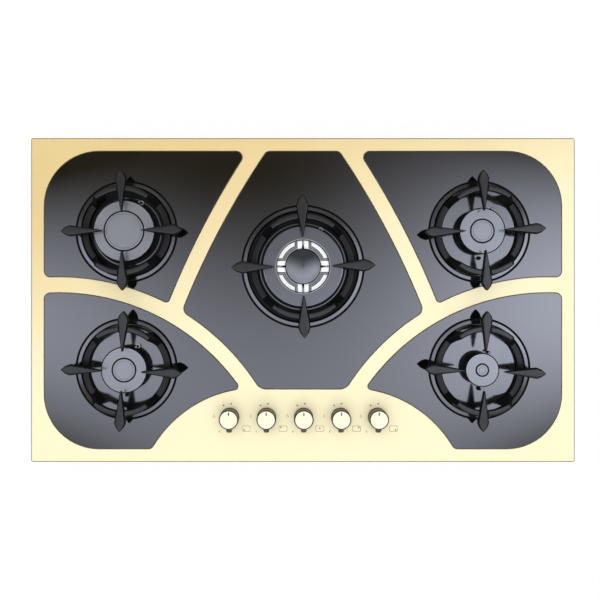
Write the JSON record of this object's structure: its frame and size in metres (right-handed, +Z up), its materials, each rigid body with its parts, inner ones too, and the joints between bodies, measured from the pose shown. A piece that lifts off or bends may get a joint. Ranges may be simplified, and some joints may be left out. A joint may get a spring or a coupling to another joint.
{
  "type": "gas cooktop",
  "caption": "Built-in gas cooktop: brushed plate with inlaid black glass panels, enamel drip bowls, ring burners, cast pan supports and a row of round knobs.",
  "frame": {"origin": "middle of the housing's underside, which is also the bottom centre of the whole part's box", "axes": "+Z up, +X to the right as the user stands at the knobs, -Y towards the user"},
  "size_m": [0.89, 0.53, 0.1057],
  "materials": {
    "gold_steel": "brushed, pale gold coating",
    "black_glass": "black, polished, opaque",
    "bowl_enamel": "glossy dark grey enamel",
    "cap_enamel": "satin dark grey enamel",
    "cast_iron": "matt black enamel over cast iron",
    "cast_aluminium": "satin, die cast",
    "chrome": "polished",
    "zinc_steel": "zinc plated",
    "brass": "machined",
    "ceramic": "white, glazed",
    "black_plastic": "moulded, matt"
  },
  "bodies": {
    "cooktop": {"top_plate": "gold_steel", "housing": "zinc_steel", "gas_rail": "zinc_steel", "ignition_module": "black_plastic", "glass_panel_rear_left": "black_glass", "drip_bowl_rear_left": "bowl_enamel", "burner_base_rear_left": "cast_aluminium", "electrode_rear_left": "ceramic", "flame_ring_rear_left": "cast_aluminium", "glass_panel_front_left": "black_glass", "drip_bowl_front_left": "bowl_enamel", "burner_base_front_left": "cast_aluminium", "electrode_front_left": "ceramic", "flame_ring_front_left": "cast_aluminium", "glass_panel_centre": "black_glass", "drip_bowl_centre": "bowl_enamel", "burner_base_centre": "cast_aluminium", "electrode_centre": "ceramic", "flame_ring_centre": "chrome", "glass_panel_rear_right": "black_glass", "drip_bowl_rear_right": "bowl_enamel", "burner_base_rear_right": "cast_aluminium", "electrode_rear_right": "ceramic", "flame_ring_rear_right": "cast_aluminium", "glass_panel_front_right": "black_glass", "drip_bowl_front_right": "bowl_enamel", "burner_base_front_right": "cast_aluminium", "electrode_front_right": "ceramic", "flame_ring_front_right": "cast_aluminium", "gas_tap_front_left": "brass", "supply_pipe_front_left": "cast_aluminium", "gas_tap_rear_left": "brass", "supply_pipe_rear_left": "cast_aluminium", "gas_tap_centre": "brass", "supply_pipe_centre": "cast_aluminium", "gas_tap_rear_right": "brass", "supply_pipe_rear_right": "cast_aluminium", "gas_tap_front_right": "brass", "supply_pipe_front_right": "cast_aluminium"},
    "support_rear_left": {"pan_support_rear_left": "cast_iron"},
    "cap_rear_left": {"burner_cap_rear_left": "cap_enamel"},
    "support_front_left": {"pan_support_front_left": "cast_iron"},
    "cap_front_left": {"burner_cap_front_left": "cap_enamel"},
    "support_centre": {"pan_support_centre": "cast_iron"},
    "ring_cap_centre": {"ring_cap_centre": "cap_enamel"},
    "inner_cap_centre": {"inner_cap_centre": "cap_enamel"},
    "support_rear_right": {"pan_support_rear_right": "cast_iron"},
    "cap_rear_right": {"burner_cap_rear_right": "cap_enamel"},
    "support_front_right": {"pan_support_front_right": "cast_iron"},
    "cap_front_right": {"burner_cap_front_right": "cap_enamel"},
    "spindle_front_left": {"spindle_front_left": "zinc_steel"},
    "knob_front_left": {"knob_front_left": "chrome"},
    "spindle_rear_left": {"spindle_rear_left": "zinc_steel"},
    "knob_rear_left": {"knob_rear_left": "chrome"},
    "spindle_centre": {"spindle_centre": "zinc_steel"},
    "knob_centre": {"knob_centre": "chrome"},
    "spindle_rear_right": {"spindle_rear_right": "zinc_steel"},
    "knob_rear_right": {"knob_rear_right": "chrome"},
    "spindle_front_right": {"spindle_front_right": "zinc_steel"},
    "knob_front_right": {"knob_front_right": "chrome"}
  },
  "joints": [
    {"name": "support_rear_left_lift", "type": "slide", "parent": "cooktop", "child": "support_rear_left", "axis": [0, 0, 1], "range_m": [0, 0.06]},
    {"name": "cap_rear_left_lift", "type": "slide", "parent": "cooktop", "child": "cap_rear_left", "axis": [0, 0, 1], "range_m": [0, 0.01]},
    {"name": "support_front_left_lift", "type": "slide", "parent": "cooktop", "child": "support_front_left", "axis": [0, 0, 1], "range_m": [0, 0.06]},
    {"name": "cap_front_left_lift", "type": "slide", "parent": "cooktop", "child": "cap_front_left", "axis": [0, 0, 1], "range_m": [0, 0.01]},
    {"name": "support_centre_lift", "type": "slide", "parent": "cooktop", "child": "support_centre", "axis": [0, 0, 1], "range_m": [0, 0.06]},
    {"name": "ring_cap_centre_lift", "type": "slide", "parent": "cooktop", "child": "ring_cap_centre", "axis": [0, 0, 1], "range_m": [0, 0.01]},
    {"name": "inner_cap_centre_lift", "type": "slide", "parent": "cooktop", "child": "inner_cap_centre", "axis": [0, 0, 1], "range_m": [0, 0.01]},
    {"name": "support_rear_right_lift", "type": "slide", "parent": "cooktop", "child": "support_rear_right", "axis": [0, 0, 1], "range_m": [0, 0.06]},
    {"name": "cap_rear_right_lift", "type": "slide", "parent": "cooktop", "child": "cap_rear_right", "axis": [0, 0, 1], "range_m": [0, 0.01]},
    {"name": "support_front_right_lift", "type": "slide", "parent": "cooktop", "child": "support_front_right", "axis": [0, 0, 1], "range_m": [0, 0.06]},
    {"name": "cap_front_right_lift", "type": "slide", "parent": "cooktop", "child": "cap_front_right", "axis": [0, 0, 1], "range_m": [0, 0.01]},
    {"name": "knob_front_left_turn", "type": "hinge", "parent": "cooktop", "child": "spindle_front_left", "pos_m": [-0.1194, -0.191, 0.07], "axis": [0, 0, 1], "range_deg": [0, 145]},
    {"name": "knob_front_left_push", "type": "slide", "parent": "spindle_front_left", "child": "knob_front_left", "axis": [0, 0, -1], "range_m": [0, 0.004], "stiffness_N_per_m": 3000, "springref_m": -0.002},
    {"name": "knob_rear_left_turn", "type": "hinge", "parent": "cooktop", "child": "spindle_rear_left", "pos_m": [-0.0592, -0.191, 0.07], "axis": [0, 0, 1], "range_deg": [0, 145]},
    {"name": "knob_rear_left_push", "type": "slide", "parent": "spindle_rear_left", "child": "knob_rear_left", "axis": [0, 0, -1], "range_m": [0, 0.004], "stiffness_N_per_m": 3000, "springref_m": -0.002},
    {"name": "knob_centre_turn", "type": "hinge", "parent": "cooktop", "child": "spindle_centre", "pos_m": [0.001, -0.191, 0.07], "axis": [0, 0, 1], "range_deg": [0, 145]},
    {"name": "knob_centre_push", "type": "slide", "parent": "spindle_centre", "child": "knob_centre", "axis": [0, 0, -1], "range_m": [0, 0.004], "stiffness_N_per_m": 3000, "springref_m": -0.002},
    {"name": "knob_rear_right_turn", "type": "hinge", "parent": "cooktop", "child": "spindle_rear_right", "pos_m": [0.0612, -0.191, 0.07], "axis": [0, 0, 1], "range_deg": [0, 145]},
    {"name": "knob_rear_right_push", "type": "slide", "parent": "spindle_rear_right", "child": "knob_rear_right", "axis": [0, 0, -1], "range_m": [0, 0.004], "stiffness_N_per_m": 3000, "springref_m": -0.002},
    {"name": "knob_front_right_turn", "type": "hinge", "parent": "cooktop", "child": "spindle_front_right", "pos_m": [0.1214, -0.191, 0.07], "axis": [0, 0, 1], "range_deg": [0, 145]},
    {"name": "knob_front_right_push", "type": "slide", "parent": "spindle_front_right", "child": "knob_front_right", "axis": [0, 0, -1], "range_m": [0, 0.004], "stiffness_N_per_m": 3000, "springref_m": -0.002}
  ]
}
